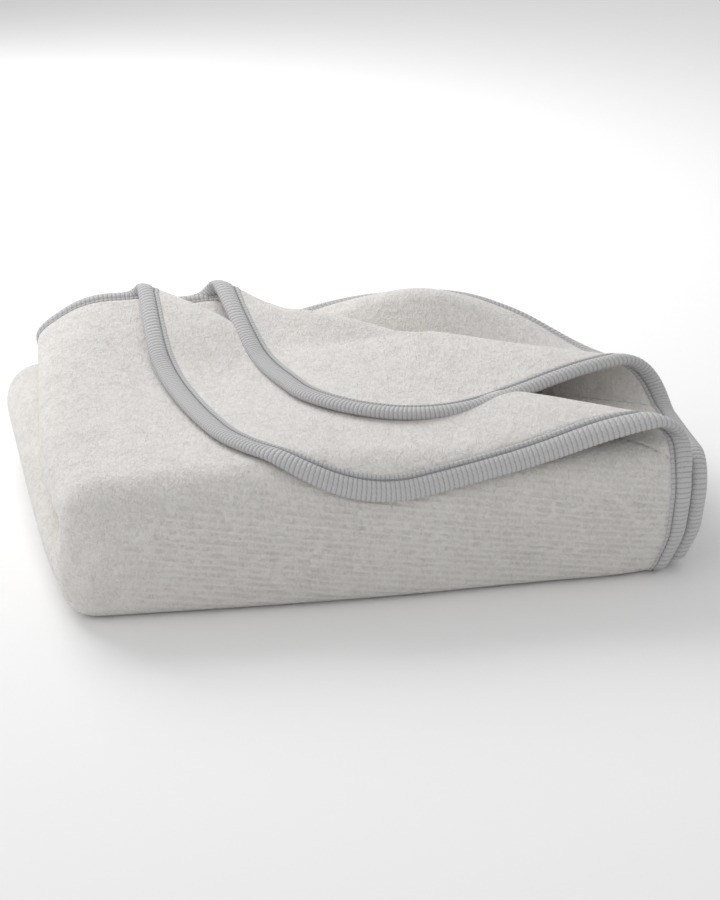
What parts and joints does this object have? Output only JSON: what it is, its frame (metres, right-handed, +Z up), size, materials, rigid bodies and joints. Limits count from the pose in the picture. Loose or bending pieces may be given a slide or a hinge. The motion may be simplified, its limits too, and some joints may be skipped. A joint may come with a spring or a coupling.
{
  "type": "folded throw blanket",
  "caption": "Brushed knit throw blanket with a rib-knit edge tape, folded to a rectangular stack with one back corner of its outer plies turned forward.",
  "frame": {"origin": "middle of the footprint, on the surface the throw lies on", "axes": "+X to the right along the width, +Y to the back, +Z up"},
  "size_m": [0.4, 0.29, 0.1072],
  "materials": {
    "cloth": "brushed nap, warm off-white",
    "tape": "rib knit, pale cool grey",
    "thread": "spun thread, mid grey"
  },
  "bodies": {
    "stack": {"outer_ply": "cloth", "second_ply": "cloth", "inner_half": "cloth", "left_fold": "cloth", "side_binding_outer": "tape", "side_binding_second": "tape", "side_seam_outer": "thread", "side_seam_second": "thread", "back_binding_outer": "tape", "back_binding_second": "tape", "back_binding_third_fourth": "tape", "back_binding_inner_half": "tape"},
    "outer_corner": {"flap_ply_outer": "cloth", "flap_binding_outer": "tape", "flap_seam_outer": "thread"},
    "second_corner": {"flap_ply_second": "cloth", "flap_binding_second": "tape", "flap_seam_second": "thread"}
  },
  "joints": [
    {"name": "outer_corner_fold", "type": "hinge", "parent": "stack", "child": "outer_corner", "pos_m": [-0.135, 0.145, 0.09555], "axis": [-0.848, 0.5299, 0], "range_deg": [0, 130]},
    {"name": "second_corner_fold", "type": "hinge", "parent": "stack", "child": "second_corner", "pos_m": [-0.08, 0.145, 0.09555], "axis": [-0.848, 0.5299, 0], "range_deg": [0, 130]}
  ],
  "couplings": [
    {"joint": "second_corner_fold", "follows": "outer_corner_fold", "ratio": 1}
  ]
}
